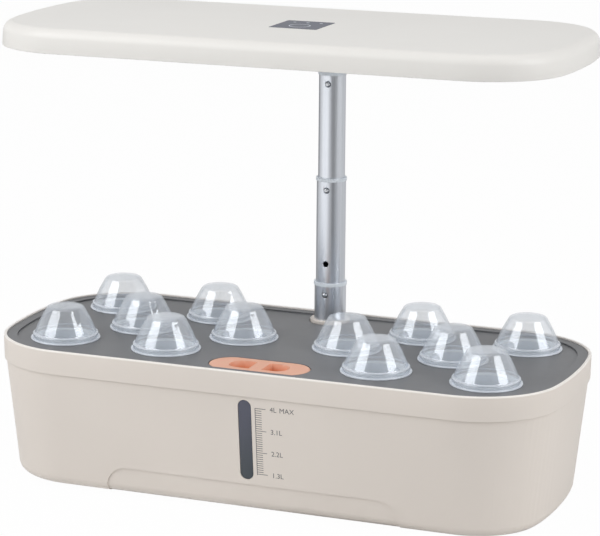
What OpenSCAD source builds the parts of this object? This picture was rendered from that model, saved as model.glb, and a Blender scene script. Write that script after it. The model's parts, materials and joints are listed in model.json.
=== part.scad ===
// Seed sprouter: a water tank under a lift-off deck of twelve sprouting pods,
// with a grow lamp on a telescopic pole. Millimetres, +Z up, +Y towards the pole.
// The origin is on the table, under the middle of the tank.

/* [Tank] */
// Length of the rim
rim_l = 404; // [394:0.5:434]
// Depth of the rim from front to back
rim_w = 179.5; // [177:0.5:195]
// Corner radius of the rim seen from above
rim_r = 62; // [55:0.5:66]
// Height of the deck's floor above the table
deck_z = 97.8; // [94:0.2:110]
// Height of the rim over the deck's floor
rim_up = 2; // [1.6:0.1:2.6]
// Thickness of the tank's walls and floor
tank_wall = 2.4; // [2:0.1:2.8]
// Lean of the tank's walls
wall_slope = 6; // [3:0.5:6.5]
// Radius between the tank's walls and its underside
heel_r = 8; // [6:0.5:10]
// Height of the rubber feet under the tank
foot_h = 1.5; // [1:0.1:3]
// Radius of a rubber foot
foot_r = 9; // [6:0.5:11]
// Distance of the feet from the middle, left and right
foot_x = 150; // [100:1:155]
// Distance of the feet from the middle, front and back
foot_y = 50; // [35:1:54]
// Depth of the recess that holds a foot
foot_seat = 0.6; // [0.3:0.1:0.9]
// Half the width of the arched relief low on the front
arch_x = 105; // [80:1:125]
// Height of the arched relief above the table
arch_z = 20.6; // [16:0.2:24]
// Corner radius of the arched relief
arch_r = 15; // [8:0.5:16]
// Depth of the arched relief
arch_deep = 0.8; // [0.4:0.1:1.1]

/* [Level window] */
// Width of the window's slot
window_w = 9.5; // [8:0.5:14]
// Length of the window's slot
window_l = 56.9; // [40:0.1:60]
// Height of the window's middle above the table
window_z = 52.3; // [48:0.1:54]
// Distance of the window right of the middle
window_x = -1.1; // [-30:0.1:30]
// How far the window's inner flange overlaps the wall
window_lap = 3.6; // [2.5:0.1:4]
// Thickness of the window's inner flange
window_t = 1.6; // [1:0.1:2.2]
// Thickness of the gasket behind the wall
gasket_t = 0.8; // [0.5:0.1:1.2]

/* [Collar and deck] */
// Height of the collar
collar_h = 17; // [14:0.5:20]
// Thickness of the collar's skirt
collar_t = 2.1; // [1.8:0.1:2.6]
// Draft of the skirt over its height
collar_draft = 0.3; // [0:0.1:0.5]
// How far the tank's wall stands back under the collar
collar_step = 1.2; // [0.8:0.1:1.6]
// Thickness of the ledge that carries the deck
ledge_t = 2; // [1.5:0.1:2.6]
// Width of that ledge
ledge_w = 5.4; // [4.4:0.1:5.6]
// Thickness of the deck's floor
deck_t = 2.2; // [1.8:0.1:2.8]
// Width of the raised strip round the deck
strip_w = 7; // [5:0.5:9]
// Height of that strip over the deck's floor
strip_h = 1; // [0.6:0.1:1.3]
// Depth of the ribs under the deck
rib_h = 5; // [3:0.5:8]
// Thickness of the ribs under the deck
rib_t = 1.6; // [1.2:0.1:2.4]
// Distance of the ribs' ends from the ends of the rim
rib_end = 37; // [32:0.5:62]

/* [Pods] */
// Distance of the end pods' middles from the ends of the rim
pod_end = 50; // [48.5:0.5:57]
// Distance of the front row from the front of the rim
row_front = 43.8; // [43:0.1:46]
// Distance of the back row from the back of the rim
row_back = 40.3; // [39.5:0.1:43]
// Radius of a basket at its top
basket_r = 17.2; // [15:0.1:18.5]
// Radius of a basket at its bottom
basket_foot_r = 13; // [10:0.1:14.5]
// Depth of a basket below the deck's floor
basket_deep = 45; // [35:1:48]
// Thickness of a basket's wall
basket_wall = 1.4; // [1:0.1:2]
// Width of a basket's root slots
slot_w = 3.2; // [2:0.1:4]
// Radius of a basket's flange
flange_r = 21.3; // [20.2:0.1:21.4]
// Thickness of a basket's flange
flange_t = 1.2; // [0.8:0.1:1.6]
// Radius of a dome's foot
dome_foot_r = 24; // [23.2:0.1:25]
// Radius of a dome's band
dome_band_r = 22.6; // [22.6:0.1:23]
// Height of a dome's band
dome_band_h = 4.2; // [3.6:0.1:6]
// Radius of a dome just over its band
dome_low_r = 21.1; // [20:0.1:21.4]
// Radius of a dome at its shoulder
dome_top_r = 13.5; // [11:0.1:15]
// Height of a dome
dome_h = 22.8; // [20:0.2:30]
// Thickness of a dome's wall
dome_wall = 1; // [0.8:0.1:1.1]

/* [Fill cap] */
// Length of the cap
cap_l = 70.6; // [64:0.2:72]
// Width of the cap
cap_w = 30.6; // [29:0.1:31]
// Distance of the cap's middle from the front of the rim
cap_front = 26.2; // [26:0.05:28]
// Length of the finger well
well_l = 42; // [34:0.5:48]
// Width of the finger well
well_w = 17.4; // [15:0.2:17.6]
// Depth of the finger well
well_deep = 8; // [7.2:0.2:10]
// Width of the grip across the finger well
grip_w = 10.5; // [8:0.5:14]
// Gap round the cap
cap_gap = 0.4; // [0.3:0.05:0.5]

/* [Pole] */
// Distance of the pole from the back of the rim
pole_back = 19.15; // [19:0.05:20]
// Outer radius of the lower tube
tube_r = 11.2; // [10:0.1:11.4]
// Thickness of the tubes' walls
tube_wall = 0.8; // [0.6:0.05:1]
// Radial running gap between two tubes
tube_gap = 0.08; // [0.04:0.01:0.1]
// Height of the lower tube's end over the deck's floor
tube_up = 28.1; // [25:0.1:33]
// Height from one tube's end to the next
tube_step = 75.2; // [68:0.2:76]
// Height of the lower tube's foot above the table
tube_foot = 42; // [40:0.5:44]
// Distance that each tube slides down to its lower latch hole
tube_drop = 53; // [40:0.5:53]
// Length of the middle tube inside the lower one
mid_grip = 29; // [25:0.5:30]
// Length of the upper tube inside the middle one
upper_grip = 22; // [18:0.5:22]
// Length of the lamp's neck inside the upper tube
neck_grip = 30; // [24:0.5:34]
// Height of a guide bush over the tube's end
bush_up = 1; // [0.8:0.1:1.5]
// Length of a guide bush's skirt
bush_skirt = 1.4; // [1:0.1:2]
// Thickness of a guide bush's skirt
bush_t = 0.55; // [0.4:0.05:0.8]
// Distance of a snap button under the tube's end
button_down = 7.4; // [6:0.1:9]
// Radius of a snap button
button_r = 1.75; // [1.5:0.05:2]
// How far a snap button stands out of the tube
button_out = 1.1; // [0.8:0.1:1.4]
// Radius of the cream ring round the pole's foot
ring_r = 14; // [13.2:0.1:14]
// Height of that ring over the deck's floor
ring_up = 2.1; // [1.6:0.1:3]

/* [Lamp] */
// Length of the lamp
lamp_l = 398.6; // [384:0.2:420]
// Depth of the lamp from front to back
lamp_w = 181.8; // [178:0.2:190]
// Corner radius of the lamp seen from above
lamp_r = 58.8; // [52:0.2:63]
// Distance of the lamp's middle behind the tank's middle
lamp_y = 3.5; // [0:0.5:5]
// Height of the lamp's underside over the deck's floor
lamp_up = 203.9; // [197:0.1:216]
// Thickness of the lamp
lamp_t = 16.5; // [16.2:0.1:20]
// Radius of the lamp's upper edge
lamp_edge_r = 11.2; // [8:0.2:11.6]
// Draft of the lamp's side
lamp_draft = 4; // [2:0.5:5]
// Thickness of the lamp's shell
lamp_wall = 2; // [1.6:0.1:2.4]
// Width of the touch panel
touch_w = 34; // [28:1:44]
// Depth of the touch panel
touch_d = 37; // [28:1:44]
// Distance of the touch panel right of the middle
touch_x = 4; // [-20:1:20]
// Thickness of the touch panel
touch_t = 1; // [0.8:0.1:1.2]
// Width of the lamp's base beside the diffuser
diffuser_end = 28; // [27:0.2:45]
// Width of the lamp's base in front of the diffuser
diffuser_front = 23.4; // [23:0.2:32]
// Distance of the diffuser's back edge in front of the pole's middle
diffuser_pole = 23.6; // [22.8:0.2:32]
// Corner radius of the diffuser
diffuser_r = 20; // [10:1:30]
// Columns of light-emitting diodes
led_columns = 16; // [8:1:18]
// Rows of light-emitting diodes
led_rows = 4; // [2:1:5]

/* [Pump] */
// Width of the pump
pump_w = 40; // [36:1:44]
// Depth of the pump
pump_d = 34; // [32:1:36]
// Height of the pump
pump_h = 28; // [27:0.5:30]
// Distance of the pump left of the middle
pump_x = 62; // [60:1:70]
// Height of the pump's suction cups
cup_h = 3; // [2:0.5:5]
// Radius of the pump's impeller
impeller_r = 9.4; // [8:0.1:9.8]

/* [Hidden] */
$fn = 72;
pod_step = (rim_l / 2 - pod_end) / 4;
row_ys = [row_front - rim_w / 2, (row_front - row_back) / 2, rim_w / 2 - row_back];
pods = [
    for (row = [0:2]) let (columns = row == 1 ? [-3, -1, 1, 3] : [-4, -2, 2, 4])
        for (column = columns) [column * pod_step, row_ys[row]]
];
pod_numbers = [for (k = [1:len(pods)]) k];

// Small clearances between pieces of one body and between moving pieces
seat_gap = 0.15;
slip_gap = 0.4;
// Cut lengths that pass a wall on both sides
past = 1;

// Places of the cap and the pole
cap_y = rim_w / 2 - cap_front;
pole_y = rim_w / 2 - pole_back;

// Half the length of the ribs under the deck
rib_x = rim_l / 2 - rib_end;

// Corner centres of the rim, and the levels that the tank's pieces share
corner_x = rim_l / 2 - rim_r;
corner_y = rim_w / 2 - rim_r;
rim_top = deck_z + rim_up;
strip_top = deck_z + strip_h;
seam_z = rim_top - collar_h;
deck_under = deck_z - deck_t;
neck_top = deck_under - ledge_t;
floor_top = foot_h + tank_wall;
slope = tan(wall_slope);
neck_r = rim_r - collar_draft - collar_t - slip_gap;
heel_z = foot_h + heel_r;
heel_x = wall_r(heel_z) - heel_r / cos(wall_slope);

// Radius of the tank's outer wall from its corner centre at height z
function wall_r(z) = rim_r - collar_draft - collar_step - slope * (seam_z - z);
// Place of the tank's front face at height z
function front_y(z) = -corner_y - wall_r(z);
// Height where the wall's surface, moved in by i, meets the upright neck
function join_z(i) =
    seam_z - max(0, wall_r(seam_z) - i / cos(wall_slope) - neck_r + i) / slope;

// Pole tubes from the bottom up: outer radius, end height, foot height
tube_taper = tube_wall + tube_gap;
tube_rs = [for (k = [0:3]) tube_r - k * tube_taper];
tube_ends = [for (k = [0:2]) deck_z + tube_up + k * tube_step];
tube_feet = [
    tube_foot,
    tube_ends[0] - mid_grip,
    tube_ends[1] - upper_grip,
    tube_ends[2] - neck_grip
];
button_zs = [for (k = [0:2]) tube_ends[k] - button_down];
hole_r = button_r + 0.15;
sink_r = hole_r + 0.6;

// The dry bay for wiring under the pole, and the tower over it
bay_x = 30;
bay_front = 28.6;
bay_y = pole_y - bay_front;
tower_top = neck_top;
tower_r = ring_r;
bore_r = tube_r + 0.05;
hatch_x = 28;
hatch_d = 26;
hatch_in = 3;
hatch_mid = bay_y + hatch_in + hatch_d / 2;
hatch_t = 1.2;
hatch_lip = 5;
hatch_screw_x = 24;
hatch_boss_r = 3;
jack_x = 15;
jack_z = 22;
jack_r = 4;

// Levels in the lamp
lamp_z = deck_z + lamp_up;
cover_in = 0.4;
cover_t = 2;
cover_top = cover_in + cover_t;
flange_lap = 4;
diffuser_flange = 1.2;
ceiling = lamp_t - lamp_wall;
board_z = 7;
board_t = 1.6;
led_size = 3;
led_in = 15;
led_t = 0.8;
pcb_z = 11.5;
lamp_cx = lamp_l / 2 - lamp_r;
lamp_cy = lamp_w / 2 - lamp_r;
diffuser_l = lamp_l - 2 * diffuser_end;
diffuser_rear = pole_y - lamp_y - diffuser_pole;
diffuser_w = lamp_w / 2 - diffuser_front + diffuser_rear;
diffuser_y = (lamp_w / 2 - diffuser_front - diffuser_rear) / 2;
boss_r = 3.5;
boss_in = 14;
boss_end = 54.5;
boss_mid = 60;
post_end = 21.5;
post_in = 10.5;
screw_r = 1.2;
screw_head_r = 2.8;
screw_head_t = 1.3;
screw_l = 8;
boss_places = concat(
    [for (x = [lamp_l / 2 - boss_end, boss_mid], i = [-1, 1], j = [-1, 1])
        [i * x, j * (lamp_w / 2 - boss_in)]],
    [for (i = [-1, 1]) [i * (lamp_l / 2 - boss_in), 0]]
);
post_places = [
    for (x = [diffuser_l / 2 - post_end, boss_mid], i = [-1, 1], j = [-1, 1])
        [i * x, j * (diffuser_w / 2 - post_in) - diffuser_y]
];
pcb_w = 60;
pcb_d = 46;
pcb_post_r = 2;
pcb_chip = [8, 6, 2.2];
pcb_chip_step = 18;
pcb_chip_in = 3;
neck_flange_r = 15;
neck_flange_t = 2.5;

// The pump's places: middle, base, and the front face of its chamber
pump_y = pole_y - 20.6;
pump_z = floor_top + cup_h;
shaft_z = pump_z + pump_h / 2;
pump_front = pump_y - pump_d / 2;
chamber_r = impeller_r + 0.6;
chamber_d = 5;
magnet_r = 6.4;
magnet_l = 15;
shaft_r = 1;
pump_r = 5;
inlet_t = 3;
inlet_w = 30;
inlet_h = 24;
inlet_bar = 2.4;
inlet_step = 4.6;
outlet_r = 5;
outlet_bore = 3;
outlet_up = 11;
lead_r = 2.2;
lead_z = pump_z + 8;

// The cap's plug, its seal and the port under it
plug_in = [10.6, 9];
plug_l = cap_l - plug_in[0];
plug_w = cap_w - plug_in[1];
port_gap = 1.5;
plug_floor = 1.6;
plug_z = deck_z - well_deep - plug_floor;
seal_h = 1.6;
seal_deep = 0.8;
seal_z = neck_top + 0.2;

// Carries a profile round the tank's corner centres. The profile's x is the
// distance out from a corner centre and its y is the height.
module around(cx, cy) {
    for (k = [0:3]) {
        a = k % 2 == 0 ? cx : cy;
        b = k % 2 == 0 ? cy : cx;
        rotate([0, 0, 90 * k]) translate([a, b, 0]) {
            rotate_extrude(angle = 90) children();
            rotate([90, 0, 0]) linear_extrude(2 * b) children();
        }
    }
}

// A profile solid to its corner centres, closed with a plate between them
module around_plate(cx, cy, z, t) {
    around(cx, cy) children();
    translate([-cx, -cy, z]) cube([2 * cx, 2 * cy, t]);
}

module rounded2d(l, w, r) {
    square([l, w - 2 * r], center = true);
    square([l - 2 * r, w], center = true);
    for (x = [-1, 1], y = [-1, 1])
        translate([x * (l / 2 - r), y * (w / 2 - r)]) circle(r);
}

module stadium2d(l, w) {
    square([l - w, w], center = true);
    for (s = [-1, 1]) translate([s * (l - w) / 2, 0]) circle(w / 2);
}

// Outline of the arched relief, its top edge on y = 0
module arch2d() {
    translate([0, -arch_z]) {
        square([2 * arch_x, 2 * (arch_z - arch_r)], center = true);
        square([2 * (arch_x - arch_r), 2 * arch_z], center = true);
    }
    for (s = [-1, 1]) translate([s * (arch_x - arch_r), -arch_r]) circle(arch_r);
}

// A straight hole or pin along Z between two heights
module rod(r, z0, z1) {
    translate([0, 0, z0]) cylinder(r = r, h = z1 - z0);
}

// Turns its children to the tank's front: x along the wall, y up it, z outwards
module on_front(z) {
    translate([0, front_y(z), z]) rotate([90 + wall_slope, 0, 0]) children();
}

module on_back(z) {
    mirror([0, 1, 0]) on_front(z) children();
}

// The tank's outline moved in by i: a straight lean with a round heel
module wall2d(i) {
    rise = heel_z - (heel_r - i) * sin(wall_slope);
    run = heel_x + (heel_r - i) * cos(wall_slope);
    join = join_z(i);
    lean_top = i == 0
        ? [[wall_r(seam_z), seam_z], [neck_r, seam_z], [neck_r, neck_top]]
        : [[neck_r - i, join], [neck_r - i, i < tank_wall ? neck_top : rim_top]];
    top = lean_top[len(lean_top) - 1][1];
    polygon(concat(
        [[0, foot_h + i], [heel_x, foot_h + i], [heel_x, heel_z], [run, rise]],
        lean_top,
        [[0, top]]
    ));
    translate([heel_x, heel_z]) circle(heel_r - i);
}

// A stretch of the back wall's outline, w wide, moved in by i
module back_run(w, i) {
    rotate([0, 0, 90]) translate([corner_y, w / 2, 0]) rotate([90, 0, 0])
        linear_extrude(w) wall2d(i);
}

module bay_block() {
    intersection() {
        translate([-bay_x, bay_y, foot_h + past]) cube([2 * bay_x, rim_w / 2, tube_foot - foot_h - past]);
        back_run(2 * bay_x + 2 * past, tank_wall / 2);
    }
    intersection() {
        translate([0, pole_y, 0]) rod(tower_r, tube_foot - tank_wall, tower_top);
        back_run(2 * bay_x, tank_wall / 2);
    }
}

module bay_room() {
    intersection() {
        translate([-bay_x + tank_wall, bay_y + tank_wall, 0])
            cube([2 * (bay_x - tank_wall), rim_w / 2, tube_foot - tank_wall]);
        back_run(2 * bay_x, tank_wall);
    }
}

module hatch_boss() {
    for (s = [-1, 1]) translate([s * hatch_screw_x, hatch_mid, 0])
        rod(hatch_boss_r, floor_top - tank_wall / 2, floor_top + 2 * hatch_boss_r);
}

module tank_body() {
    color("antiquewhite") difference() {
        union() {
            difference() {
                around_plate(corner_x, corner_y, foot_h, tank_wall) difference() {
                    wall2d(0);
                    wall2d(tank_wall);
                }
                // arched relief low on the front, as deep on the heel as on the wall
                difference() {
                    on_front(arch_z) translate([0, 0, -heel_r]) linear_extrude(2 * heel_r) arch2d();
                    mirror([0, 1, 0]) back_run(2 * arch_x + 2 * past, arch_deep);
                    translate([0, 0, foot_h]) linear_extrude(arch_deep)
                        square([2 * arch_x + 2 * past, 2 * (corner_y + heel_x)], center = true);
                }
            }
            difference() {
                bay_block();
                bay_room();
            }
            hatch_boss();
        }
        // socket of the lower tube, its wire hole and the lower latch's pocket
        translate([0, pole_y, 0]) {
            rod(bore_r, tube_foot, tower_top + past);
            rod(3, tube_foot - tank_wall - past, tube_foot + past);
            translate([0, 0, button_zs[0] - tube_drop]) rotate([90, 0, 0])
                rod(hole_r + 0.7, 0, tower_r - 1);
        }
        // slot of the level window, and the flat seat behind it
        on_front(window_z) translate([window_x, 0, 0]) rotate([0, 0, 90]) {
            translate([0, 0, -tank_wall - past])
                linear_extrude(tank_wall + 2 * past) stadium2d(window_l, window_w);
            translate([0, 0, -tank_wall - window_t - gasket_t - 2])
                linear_extrude(window_t + gasket_t + 2)
                    stadium2d(window_l + 2 * (window_lap + seat_gap),
                        window_w + 2 * (window_lap + seat_gap));
        }
        // hatch of the dry bay, with the pilot holes of its screws
        translate([0, hatch_mid, 0]) {
            translate([0, 0, foot_h - past]) linear_extrude(past + hatch_t)
                square([2 * (hatch_x + seat_gap), hatch_d + 2 * seat_gap], center = true);
            translate([0, 0, foot_h]) linear_extrude(2 * tank_wall)
                square([2 * (hatch_screw_x - hatch_lip), hatch_d - 2 * hatch_lip],
                    center = true);
            for (s = [-1, 1]) translate([s * hatch_screw_x, 0, 0])
                rod(1, foot_h, floor_top + 4);
        }
        // power inlet at the back, and the pump's lead into the bay
        on_back(jack_z) translate([jack_x, 0, 0]) rod(jack_r + 0.1, -3 * tank_wall, past);
        translate([-bay_x - past, pump_y, lead_z]) rotate([0, 90, 0])
            rod(lead_r + 0.1, 0, tank_wall + 2 * past);
        for (x = [-1, 1], y = [-1, 1]) translate([x * foot_x, y * foot_y, 0])
            rod(foot_r + 0.1, 0, foot_h + foot_seat);
    }
}

module level_window() {
    color("darkslategray") on_front(window_z) translate([window_x, 0, 0]) rotate([0, 0, 90]) {
        translate([0, 0, -tank_wall - gasket_t])
            linear_extrude(tank_wall + gasket_t - 0.3)
                stadium2d(window_l - 2 * seat_gap, window_w - 2 * seat_gap);
        translate([0, 0, -tank_wall - gasket_t - window_t]) linear_extrude(window_t)
            stadium2d(window_l + 2 * window_lap, window_w + 2 * window_lap);
    }
}

module window_gasket() {
    color("dimgray") on_front(window_z) translate([window_x, 0, 0]) rotate([0, 0, 90])
        translate([0, 0, -tank_wall - gasket_t]) linear_extrude(gasket_t) difference() {
            stadium2d(window_l + 2 * window_lap, window_w + 2 * window_lap);
            stadium2d(window_l, window_w);
        }
}

module feet() {
    color("dimgray") for (x = [-1, 1], y = [-1, 1]) translate([x * foot_x, y * foot_y, 0]) {
        rod(foot_r, 0.5, foot_h + foot_seat);
        cylinder(r1 = foot_r - 0.5, r2 = foot_r, h = 0.5);
    }
}

module service_cover() {
    color("linen") translate([0, hatch_mid, foot_h]) linear_extrude(hatch_t) difference() {
        square([2 * hatch_x, hatch_d], center = true);
        for (s = [-1, 1]) translate([s * hatch_screw_x, 0]) circle(1.4);
    }
}

module cover_screws() {
    color("silver") for (s = [-1, 1]) translate([s * hatch_screw_x, hatch_mid, 0]) {
        rod(2.4, foot_h - 0.9, foot_h);
        rod(0.95, foot_h - 0.1, floor_top + 3);
    }
}

module dc_jack() {
    color("black") on_back(jack_z) translate([jack_x, 0, 0]) {
        difference() {
            union() {
                rod(jack_r, -9, 0.5);
                rod(jack_r + 1.4, 0, 1);
            }
            rod(2.75, -8, past + 1);
        }
        rod(1, -8.5, 0.4);
    }
}

module pump_body() {
    color("darkgray") difference() {
        union() {
            translate([-pump_x, pump_y, pump_z]) linear_extrude(pump_h)
                rounded2d(pump_w, pump_d, pump_r);
            translate([-pump_x, pump_front + 8, 0])
                rod(outlet_r, pump_z + pump_h - past, pump_z + pump_h + outlet_up);
        }
        translate([-pump_x, pump_front, shaft_z]) rotate([-90, 0, 0]) {
            rod(chamber_r, -past, chamber_d);
            rod(magnet_r + 0.4, 0, chamber_d + magnet_l + 0.6);
            rod(shaft_r + 0.02, 0, chamber_d + magnet_l + 3.6);
        }
        translate([-pump_x, pump_front + 8, 0])
            rod(outlet_bore, shaft_z + magnet_r + 2.4, pump_z + pump_h + outlet_up + past);
        translate([-pump_x, pump_front + 5, shaft_z + magnet_r + 2])
            cube([2 * outlet_bore, 12, 3.2], center = true);
    }
}

module pump_inlet() {
    color("dimgray") translate([-pump_x, pump_front, shaft_z]) rotate([90, 0, 0]) difference() {
        linear_extrude(inlet_t) rounded2d(inlet_w, inlet_h, 4);
        for (k = [-2:2]) if (k != 0) translate([k * inlet_step, 0, inlet_t / 2])
            cube([inlet_bar, inlet_h - 9, inlet_t + past], center = true);
        rod(shaft_r + 0.02, -past, 1.6);
    }
}

module pump_impeller() {
    color("white") translate([-pump_x, pump_front, shaft_z]) rotate([-90, 0, 0]) difference() {
        union() {
            rod(magnet_r, chamber_d - 0.4, chamber_d + magnet_l - 0.4);
            rod(impeller_r, chamber_d - 1.6, chamber_d - 0.4);
            rod(2.6, 0.8, chamber_d);
            for (k = [0:5]) rotate([0, 0, 60 * k]) translate([2, -0.5, 0.8])
                cube([impeller_r - 2.6, 1, chamber_d - 2]);
        }
        rod(shaft_r + 0.05, -past, chamber_d + magnet_l + past);
    }
}

module pump_shaft() {
    color("gainsboro") translate([-pump_x, pump_front, shaft_z]) rotate([-90, 0, 0])
        rod(shaft_r, -1.4, chamber_d + magnet_l + 3.4);
}

module pump_cups() {
    color("dimgray") for (x = [-1, 1], y = [-1, 1])
        translate([-pump_x + x * (pump_w / 2 - 7), pump_y + y * (pump_d / 2 - 7), floor_top]) {
            cylinder(r1 = 5, r2 = 2.5, h = cup_h - 1);
            rod(2.5, cup_h - 1, cup_h);
        }
}

module pump_lead() {
    color("black") translate([0, pump_y, lead_z]) rotate([0, 90, 0]) {
        rod(lead_r, -pump_x + pump_w / 2, -bay_x + tank_wall + 4);
        rod(lead_r + 1.6, -bay_x - 3, -bay_x);
    }
}

module rim_collar() {
    lip = 0.9;
    color("antiquewhite") difference() {
        around(corner_x, corner_y) {
            polygon([
                [rim_r - collar_draft, seam_z + 0.2],
                [rim_r, rim_top - lip],
                [rim_r - lip, rim_top - lip],
                [rim_r - lip, rim_top],
                [rim_r - collar_t, rim_top],
                [rim_r - collar_t, deck_under],
                [rim_r - collar_t - ledge_w, deck_under],
                [rim_r - collar_t - ledge_w, neck_top],
                [rim_r - collar_t - collar_draft, neck_top],
                [rim_r - collar_t - collar_draft, seam_z + 0.2]
            ]);
            translate([rim_r - lip, rim_top - lip]) circle(lip);
        }
        translate([0, pole_y, 0]) rod(ring_r + 3 * slip_gap, neck_top - past, deck_under + past);
    }
}

module deck() {
    edge = rim_r - collar_t - seat_gap;
    port_l = plug_l + 2 * port_gap;
    port_w = plug_w + 2 * port_gap;
    color("dimgray") difference() {
        union() {
            around_plate(corner_x, corner_y, deck_under, deck_t) polygon([
                [0, deck_under],
                [edge, deck_under],
                [edge, strip_top],
                [edge - strip_w, strip_top],
                [edge - strip_w, deck_z],
                [0, deck_z]
            ]);
            // seat of the fill cap
            translate([0, -cap_y, neck_top - 0.2]) linear_extrude(deck_t + ledge_t)
                stadium2d(cap_l + 2 * cap_gap + 2 * deck_t, cap_w + 2 * cap_gap + 2 * deck_t);
            // stiffening ribs between the rows
            for (k = [0, 1])
                translate([-rib_x, (row_ys[k] + row_ys[k + 1] - rib_t) / 2, deck_under - rib_h])
                    cube([2 * rib_x, rib_t, rib_h + deck_t / 2]);
        }
        for (pod = pods) translate([pod[0], pod[1], 0])
            rod(basket_r + slip_gap, deck_under - past, deck_z + past);
        translate([0, pole_y, 0]) rod(ring_r + 1.5 * slip_gap, deck_under - past, rim_top + past);
        translate([0, -cap_y, 0]) {
            translate([0, 0, deck_under]) linear_extrude(deck_t + past)
                stadium2d(cap_l + 2 * cap_gap, cap_w + 2 * cap_gap);
            translate([0, 0, neck_top - past]) linear_extrude(deck_t + 2 * past)
                stadium2d(port_l, port_w);
        }
    }
}

module fill_cap() {
    color("lightsalmon") translate([0, -cap_y, 0]) difference() {
        union() {
            translate([0, 0, deck_under]) linear_extrude(deck_t) stadium2d(cap_l, cap_w);
            translate([0, 0, plug_z]) linear_extrude(deck_under - plug_z + deck_t / 2)
                stadium2d(plug_l, plug_w);
        }
        // finger well, split by the grip
        translate([0, 0, deck_z - well_deep]) linear_extrude(well_deep + past) difference() {
            stadium2d(well_l, well_w);
            square([grip_w, well_w + past], center = true);
        }
        translate([0, 0, seal_z]) linear_extrude(seal_h) difference() {
            stadium2d(plug_l + past, plug_w + past);
            stadium2d(plug_l - 2 * seal_deep, plug_w - 2 * seal_deep);
        }
    }
}

module cap_seal() {
    color("gray") translate([0, -cap_y, seal_z + 0.05]) linear_extrude(seal_h - 0.1) difference() {
        stadium2d(plug_l + 2 * port_gap - 0.2, plug_w + 2 * port_gap - 0.2);
        stadium2d(plug_l - 2 * seal_deep + 0.1, plug_w - 2 * seal_deep + 0.1);
    }
}

module basket(k) {
    inner_top = basket_r - basket_wall;
    inner_foot = basket_foot_r - basket_wall;
    color("whitesmoke", 0.8) translate([pods[k - 1][0], pods[k - 1][1], deck_z]) difference() {
        rotate_extrude() polygon([
            [0, -basket_deep],
            [basket_foot_r, -basket_deep],
            [basket_r, 0],
            [flange_r, 0],
            [flange_r, flange_t],
            [inner_top, flange_t],
            [inner_foot, -basket_deep + basket_wall],
            [0, -basket_deep + basket_wall]
        ]);
        // root slots down the wall and a cross through the floor
        for (a = [0:45:135]) rotate([0, 0, a])
            translate([-basket_r, -slot_w / 2, -basket_deep + 5])
                cube([2 * basket_r, slot_w, basket_deep * 0.6]);
        for (a = [22.5, 112.5]) rotate([0, 0, a])
            translate([-inner_foot + 2, -1.3, -basket_deep - past])
                cube([2 * (inner_foot - 2), 2.6, basket_wall + 2 * past]);
    }
}

// Side of a dome at share t of its height, bulging a little, moved in by i
function dome_side(t, i) = [
    dome_low_r - i + (dome_top_r - dome_low_r) * t + 1.8 * t * (1 - t),
    dome_band_h + 0.8 + (dome_h - 1.2 - dome_band_h - 0.8) * t
];
// Shoulder of a dome at angle a, moved in by i
function dome_shoulder(a, i) = [
    dome_top_r - 1.8 + (2 - i) * cos(a),
    dome_h - 2 + (2 - i) * sin(a)
];

module dome(k) {
    steps = 8;
    inner_band = dome_band_r - dome_wall;
    outer = concat(
        [for (s = [0:steps]) dome_side(s / steps, 0)],
        [for (a = [45, 67.5]) dome_shoulder(a, 0)],
        [[dome_top_r - 1.8, dome_h], [0, dome_h]]
    );
    inner = concat(
        [[0, dome_h - dome_wall], [dome_top_r - 1.8, dome_h - dome_wall]],
        [for (a = [67.5, 45]) dome_shoulder(a, dome_wall)],
        [for (s = [steps:-1:0]) dome_side(s / steps, dome_wall)]
    );
    color("lightcyan", 0.35) translate([pods[k - 1][0], pods[k - 1][1], deck_z + 0.05])
        rotate_extrude() polygon(concat(
            [[inner_band, 0], [dome_foot_r, 0], [dome_foot_r, 1], [dome_band_r, 1]],
            [[dome_band_r, dome_band_h]],
            outer,
            inner,
            [[inner_band, dome_band_h - 0.4]]
        ));
}

module pole_collar() {
    edge = 0.6;
    top = deck_z + ring_up;
    color("antiquewhite") translate([0, pole_y, 0]) rotate_extrude() {
        polygon([
            [bore_r, tower_top],
            [ring_r, tower_top],
            [ring_r, top - edge],
            [ring_r - edge, top - edge],
            [ring_r - edge, top],
            [bore_r, top]
        ]);
        translate([ring_r - edge, top - edge]) circle(edge);
    }
}

// One tube of the pole. Its own snap button looks out of button_hole, and the
// next tube's button out of each of latch_holes.
module pole_tube(k, z0, z1, button_hole, latch_holes) {
    r = tube_rs[k];
    translate([0, pole_y, 0]) difference() {
        rod(r, z0, z1);
        rod(r - tube_wall, z0 - past, z1 + past);
        for (z = button_hole) translate([0, 0, z]) rotate([90, 0, 0]) rod(hole_r, 0, r + past);
        for (z = latch_holes) translate([0, 0, z]) rotate([90, 0, 0]) {
            rod(hole_r, 0, r + past);
            translate([0, 0, r - tube_wall]) cylinder(r1 = hole_r - 0.1, r2 = sink_r, h = tube_wall);
        }
    }
}

module lower_tube() {
    color("silver") pole_tube(0, tube_feet[0], tube_ends[0], [],
        [button_zs[0], button_zs[0] - tube_drop]);
}

module mid_tube() {
    color("silver") pole_tube(1, tube_feet[1], tube_ends[1], [button_zs[0]],
        [button_zs[1], button_zs[1] - tube_drop]);
}

module upper_tube() {
    color("silver") pole_tube(2, tube_feet[2], tube_ends[2], [button_zs[1]], [button_zs[2]]);
}

module lamp_neck() {
    color("silver") {
        pole_tube(3, tube_feet[3], lamp_z + cover_top + 1, [button_zs[2]], []);
        translate([0, pole_y, 0]) difference() {
            rod(neck_flange_r, lamp_z + cover_top, lamp_z + cover_top + neck_flange_t);
            rod(tube_rs[3] - tube_wall, lamp_z, lamp_z + lamp_t);
        }
    }
}

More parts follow.
